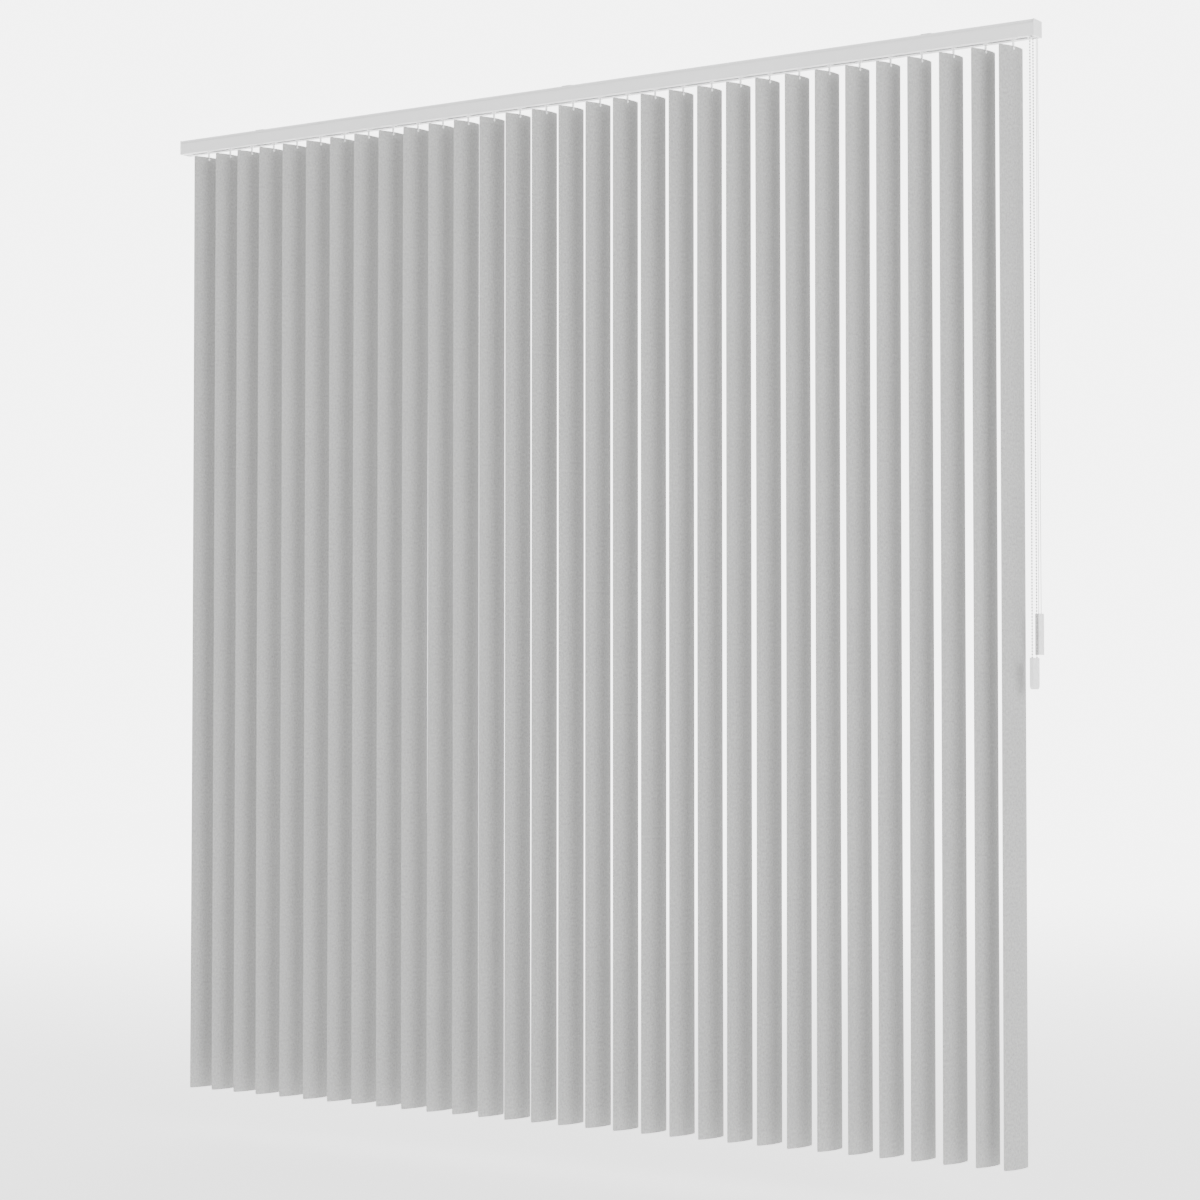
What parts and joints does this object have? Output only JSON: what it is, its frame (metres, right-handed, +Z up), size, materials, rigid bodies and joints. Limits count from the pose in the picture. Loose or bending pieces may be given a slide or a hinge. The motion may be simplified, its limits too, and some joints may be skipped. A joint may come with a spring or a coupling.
{
  "type": "vertical blind",
  "caption": "Ceiling-hung vertical blind: tall curved vanes on turning stems under a headrail, with a bead chain for tilt and a weighted cord loop.",
  "frame": {"origin": "centre of the middle ceiling clip's top face, where it meets the ceiling", "axes": "+X along the headrail towards the chain and cord end, +Y from the room towards the window, +Z up"},
  "size_m": [2.678, 0.0855, 2.706],
  "materials": {
    "vane_pvc": "light grey vane with a fine embossed weave",
    "rail_white": "satin white coated aluminium section",
    "cap_white": "white moulded plastic",
    "carrier_white": "white moulded acetal",
    "rod_aluminium": "plain drawn aluminium",
    "spacer_steel": "thin bright steel strip",
    "pin_steel": "plain steel pins",
    "bead_white": "white plastic beads on a cord",
    "cord_white": "white braided polyester cord",
    "weight_white": "white moulded weight shells"
  },
  "bodies": {
    "headrail_set": {"headrail": "rail_white", "control_end_cap": "cap_white", "idle_end_cap": "cap_white", "carrier_trucks": "carrier_white", "truck_wheels": "carrier_white", "spacer_links": "spacer_steel", "pulley_axles": "pin_steel", "chain_wrap": "bead_white", "bead_chain": "bead_white", "traverse_cord": "cord_white", "cord_loop": "cord_white", "chain_weight_left": "weight_white", "chain_weight_right": "weight_white", "cord_weight_left": "weight_white", "cord_weight_right": "weight_white", "ceiling_clip_1": "spacer_steel", "ceiling_clip_2": "spacer_steel", "ceiling_clip_3": "spacer_steel", "clip_pins": "pin_steel"},
    "vane_01_set": {"vane_01": "vane_pvc"},
    "vane_02_set": {"vane_02": "vane_pvc"},
    "vane_03_set": {"vane_03": "vane_pvc"},
    "vane_04_set": {"vane_04": "vane_pvc"},
    "vane_05_set": {"vane_05": "vane_pvc"},
    "vane_06_set": {"vane_06": "vane_pvc"},
    "vane_07_set": {"vane_07": "vane_pvc"},
    "vane_08_set": {"vane_08": "vane_pvc"},
    "vane_09_set": {"vane_09": "vane_pvc"},
    "vane_10_set": {"vane_10": "vane_pvc"},
    "vane_11_set": {"vane_11": "vane_pvc"},
    "vane_12_set": {"vane_12": "vane_pvc"},
    "vane_13_set": {"vane_13": "vane_pvc"},
    "vane_14_set": {"vane_14": "vane_pvc"},
    "vane_15_set": {"vane_15": "vane_pvc"},
    "vane_16_set": {"vane_16": "vane_pvc"},
    "vane_17_set": {"vane_17": "vane_pvc"},
    "vane_18_set": {"vane_18": "vane_pvc"},
    "vane_19_set": {"vane_19": "vane_pvc"},
    "vane_20_set": {"vane_20": "vane_pvc"},
    "vane_21_set": {"vane_21": "vane_pvc"},
    "vane_22_set": {"vane_22": "vane_pvc"},
    "vane_23_set": {"vane_23": "vane_pvc"},
    "vane_24_set": {"vane_24": "vane_pvc"},
    "vane_25_set": {"vane_25": "vane_pvc"},
    "vane_26_set": {"vane_26": "vane_pvc"},
    "vane_27_set": {"vane_27": "vane_pvc"},
    "vane_28_set": {"vane_28": "vane_pvc"},
    "vane_29_set": {"vane_29": "vane_pvc"},
    "vane_30_set": {"vane_30": "vane_pvc"},
    "vane_31_set": {"vane_31": "vane_pvc"},
    "tilt_drive": {"tilt_rod": "rod_aluminium", "worm_sleeves": "carrier_white", "chain_wheel": "carrier_white"},
    "control_pulley_front_body": {"control_pulley_front": "carrier_white"},
    "control_pulley_rear_body": {"control_pulley_rear": "carrier_white"},
    "idle_pulley_body": {"idle_pulley": "carrier_white"},
    "cord_weight_pulley_body": {"cord_weight_pulley": "carrier_white"},
    "clip_lever_1_body": {"clip_lever_1": "spacer_steel"},
    "clip_lever_2_body": {"clip_lever_2": "spacer_steel"},
    "clip_lever_3_body": {"clip_lever_3": "spacer_steel"}
  },
  "joints": [
    {"name": "vane_01_tilt", "type": "hinge", "parent": "headrail_set", "child": "vane_01_set", "pos_m": [-1.24901, 0, -0.056], "axis": [0, 0, 1], "range_deg": [-67.7, 96.3]},
    {"name": "vane_02_tilt", "type": "hinge", "parent": "headrail_set", "child": "vane_02_set", "pos_m": [-1.16841, 0, -0.056], "axis": [0, 0, 1], "range_deg": [-67.7, 96.3]},
    {"name": "vane_03_tilt", "type": "hinge", "parent": "headrail_set", "child": "vane_03_set", "pos_m": [-1.08781, 0, -0.056], "axis": [0, 0, 1], "range_deg": [-67.7, 96.3]},
    {"name": "vane_04_tilt", "type": "hinge", "parent": "headrail_set", "child": "vane_04_set", "pos_m": [-1.00721, 0, -0.056], "axis": [0, 0, 1], "range_deg": [-67.7, 96.3]},
    {"name": "vane_05_tilt", "type": "hinge", "parent": "headrail_set", "child": "vane_05_set", "pos_m": [-0.92221, 0, -0.056], "axis": [0, 0, 1], "range_deg": [-67.7, 96.3]},
    {"name": "vane_06_tilt", "type": "hinge", "parent": "headrail_set", "child": "vane_06_set", "pos_m": [-0.83721, 0, -0.056], "axis": [0, 0, 1], "range_deg": [-67.7, 96.3]},
    {"name": "vane_07_tilt", "type": "hinge", "parent": "headrail_set", "child": "vane_07_set", "pos_m": [-0.75221, 0, -0.056], "axis": [0, 0, 1], "range_deg": [-67.7, 96.3]},
    {"name": "vane_08_tilt", "type": "hinge", "parent": "headrail_set", "child": "vane_08_set", "pos_m": [-0.66721, 0, -0.056], "axis": [0, 0, 1], "range_deg": [-67.7, 96.3]},
    {"name": "vane_09_tilt", "type": "hinge", "parent": "headrail_set", "child": "vane_09_set", "pos_m": [-0.58221, 0, -0.056], "axis": [0, 0, 1], "range_deg": [-67.7, 96.3]},
    {"name": "vane_10_tilt", "type": "hinge", "parent": "headrail_set", "child": "vane_10_set", "pos_m": [-0.49721, 0, -0.056], "axis": [0, 0, 1], "range_deg": [-67.7, 96.3]},
    {"name": "vane_11_tilt", "type": "hinge", "parent": "headrail_set", "child": "vane_11_set", "pos_m": [-0.41221, 0, -0.056], "axis": [0, 0, 1], "range_deg": [-67.7, 96.3]},
    {"name": "vane_12_tilt", "type": "hinge", "parent": "headrail_set", "child": "vane_12_set", "pos_m": [-0.32721, 0, -0.056], "axis": [0, 0, 1], "range_deg": [-67.7, 96.3]},
    {"name": "vane_13_tilt", "type": "hinge", "parent": "headrail_set", "child": "vane_13_set", "pos_m": [-0.24221, 0, -0.056], "axis": [0, 0, 1], "range_deg": [-67.7, 96.3]},
    {"name": "vane_14_tilt", "type": "hinge", "parent": "headrail_set", "child": "vane_14_set", "pos_m": [-0.15721, 0, -0.056], "axis": [0, 0, 1], "range_deg": [-67.7, 96.3]},
    {"name": "vane_15_tilt", "type": "hinge", "parent": "headrail_set", "child": "vane_15_set", "pos_m": [-0.07221, 0, -0.056], "axis": [0, 0, 1], "range_deg": [-67.7, 96.3]},
    {"name": "vane_16_tilt", "type": "hinge", "parent": "headrail_set", "child": "vane_16_set", "pos_m": [0.01279, 0, -0.056], "axis": [0, 0, 1], "range_deg": [-67.7, 96.3]},
    {"name": "vane_17_tilt", "type": "hinge", "parent": "headrail_set", "child": "vane_17_set", "pos_m": [0.09779, 0, -0.056], "axis": [0, 0, 1], "range_deg": [-67.7, 96.3]},
    {"name": "vane_18_tilt", "type": "hinge", "parent": "headrail_set", "child": "vane_18_set", "pos_m": [0.18279, 0, -0.056], "axis": [0, 0, 1], "range_deg": [-67.7, 96.3]},
    {"name": "vane_19_tilt", "type": "hinge", "parent": "headrail_set", "child": "vane_19_set", "pos_m": [0.26779, 0, -0.056], "axis": [0, 0, 1], "range_deg": [-67.7, 96.3]},
    {"name": "vane_20_tilt", "type": "hinge", "parent": "headrail_set", "child": "vane_20_set", "pos_m": [0.35279, 0, -0.056], "axis": [0, 0, 1], "range_deg": [-67.7, 96.3]},
    {"name": "vane_21_tilt", "type": "hinge", "parent": "headrail_set", "child": "vane_21_set", "pos_m": [0.43779, 0, -0.056], "axis": [0, 0, 1], "range_deg": [-67.7, 96.3]},
    {"name": "vane_22_tilt", "type": "hinge", "parent": "headrail_set", "child": "vane_22_set", "pos_m": [0.52279, 0, -0.056], "axis": [0, 0, 1], "range_deg": [-67.7, 96.3]},
    {"name": "vane_23_tilt", "type": "hinge", "parent": "headrail_set", "child": "vane_23_set", "pos_m": [0.60779, 0, -0.056], "axis": [0, 0, 1], "range_deg": [-67.7, 96.3]},
    {"name": "vane_24_tilt", "type": "hinge", "parent": "headrail_set", "child": "vane_24_set", "pos_m": [0.69279, 0, -0.056], "axis": [0, 0, 1], "range_deg": [-67.7, 96.3]},
    {"name": "vane_25_tilt", "type": "hinge", "parent": "headrail_set", "child": "vane_25_set", "pos_m": [0.77779, 0, -0.056], "axis": [0, 0, 1], "range_deg": [-67.7, 96.3]},
    {"name": "vane_26_tilt", "type": "hinge", "parent": "headrail_set", "child": "vane_26_set", "pos_m": [0.86279, 0, -0.056], "axis": [0, 0, 1], "range_deg": [-67.7, 96.3]},
    {"name": "vane_27_tilt", "type": "hinge", "parent": "headrail_set", "child": "vane_27_set", "pos_m": [0.94779, 0, -0.056], "axis": [0, 0, 1], "range_deg": [-67.7, 96.3]},
    {"name": "vane_28_tilt", "type": "hinge", "parent": "headrail_set", "child": "vane_28_set", "pos_m": [1.03279, 0, -0.056], "axis": [0, 0, 1], "range_deg": [-67.7, 96.3]},
    {"name": "vane_29_tilt", "type": "hinge", "parent": "headrail_set", "child": "vane_29_set", "pos_m": [1.11779, 0, -0.056], "axis": [0, 0, 1], "range_deg": [-67.7, 96.3]},
    {"name": "vane_30_tilt", "type": "hinge", "parent": "headrail_set", "child": "vane_30_set", "pos_m": [1.20279, 0, -0.056], "axis": [0, 0, 1], "range_deg": [-67.7, 96.3]},
    {"name": "vane_31_tilt", "type": "hinge", "parent": "headrail_set", "child": "vane_31_set", "pos_m": [1.27509, 0, -0.056], "axis": [0, 0, 1], "range_deg": [-67.7, 96.3]},
    {"name": "tilt_drive_turn", "type": "hinge", "parent": "headrail_set", "child": "tilt_drive", "pos_m": [0, -0.009, -0.026], "axis": [1, 0, 0], "range_deg": [-610.3, 867.7]},
    {"name": "control_pulley_front_turn", "type": "hinge", "parent": "headrail_set", "child": "control_pulley_front_body", "pos_m": [1.32501, 0.0095, -0.025], "axis": [0, 1, 0], "continuous": true},
    {"name": "control_pulley_rear_turn", "type": "hinge", "parent": "headrail_set", "child": "control_pulley_rear_body", "pos_m": [1.32501, 0.0165, -0.025], "axis": [0, 1, 0], "continuous": true},
    {"name": "idle_pulley_turn", "type": "hinge", "parent": "headrail_set", "child": "idle_pulley_body", "pos_m": [-1.32201, 0.013, -0.02], "axis": [0, 0, 1], "continuous": true},
    {"name": "cord_weight_pulley_turn", "type": "hinge", "parent": "headrail_set", "child": "cord_weight_pulley_body", "pos_m": [1.32721, 0.02, -1.42], "axis": [1, 0, 0], "continuous": true},
    {"name": "clip_lever_1_swivel", "type": "hinge", "parent": "headrail_set", "child": "clip_lever_1_body", "pos_m": [-1.05, 0.005, -0.003], "axis": [0, 0, 1], "range_deg": [0, 90]},
    {"name": "clip_lever_2_swivel", "type": "hinge", "parent": "headrail_set", "child": "clip_lever_2_body", "pos_m": [0, 0.005, -0.003], "axis": [0, 0, 1], "range_deg": [0, 90]},
    {"name": "clip_lever_3_swivel", "type": "hinge", "parent": "headrail_set", "child": "clip_lever_3_body", "pos_m": [1.05, 0.005, -0.003], "axis": [0, 0, 1], "range_deg": [0, 90]}
  ],
  "couplings": [
    {"joint": "vane_01_tilt", "follows": "vane_16_tilt", "ratio": 1},
    {"joint": "vane_02_tilt", "follows": "vane_16_tilt", "ratio": 1},
    {"joint": "vane_03_tilt", "follows": "vane_16_tilt", "ratio": 1},
    {"joint": "vane_04_tilt", "follows": "vane_16_tilt", "ratio": 1},
    {"joint": "vane_05_tilt", "follows": "vane_16_tilt", "ratio": 1},
    {"joint": "vane_06_tilt", "follows": "vane_16_tilt", "ratio": 1},
    {"joint": "vane_07_tilt", "follows": "vane_16_tilt", "ratio": 1},
    {"joint": "vane_08_tilt", "follows": "vane_16_tilt", "ratio": 1},
    {"joint": "vane_09_tilt", "follows": "vane_16_tilt", "ratio": 1},
    {"joint": "vane_10_tilt", "follows": "vane_16_tilt", "ratio": 1},
    {"joint": "vane_11_tilt", "follows": "vane_16_tilt", "ratio": 1},
    {"joint": "vane_12_tilt", "follows": "vane_16_tilt", "ratio": 1},
    {"joint": "vane_13_tilt", "follows": "vane_16_tilt", "ratio": 1},
    {"joint": "vane_14_tilt", "follows": "vane_16_tilt", "ratio": 1},
    {"joint": "vane_15_tilt", "follows": "vane_16_tilt", "ratio": 1},
    {"joint": "vane_17_tilt", "follows": "vane_16_tilt", "ratio": 1},
    {"joint": "vane_18_tilt", "follows": "vane_16_tilt", "ratio": 1},
    {"joint": "vane_19_tilt", "follows": "vane_16_tilt", "ratio": 1},
    {"joint": "vane_20_tilt", "follows": "vane_16_tilt", "ratio": 1},
    {"joint": "vane_21_tilt", "follows": "vane_16_tilt", "ratio": 1},
    {"joint": "vane_22_tilt", "follows": "vane_16_tilt", "ratio": 1},
    {"joint": "vane_23_tilt", "follows": "vane_16_tilt", "ratio": 1},
    {"joint": "vane_24_tilt", "follows": "vane_16_tilt", "ratio": 1},
    {"joint": "vane_25_tilt", "follows": "vane_16_tilt", "ratio": 1},
    {"joint": "vane_26_tilt", "follows": "vane_16_tilt", "ratio": 1},
    {"joint": "vane_27_tilt", "follows": "vane_16_tilt", "ratio": 1},
    {"joint": "vane_28_tilt", "follows": "vane_16_tilt", "ratio": 1},
    {"joint": "vane_29_tilt", "follows": "vane_16_tilt", "ratio": 1},
    {"joint": "vane_30_tilt", "follows": "vane_16_tilt", "ratio": 1},
    {"joint": "vane_31_tilt", "follows": "vane_16_tilt", "ratio": 1},
    {"joint": "tilt_drive_turn", "follows": "vane_16_tilt", "ratio": 9}
  ]
}
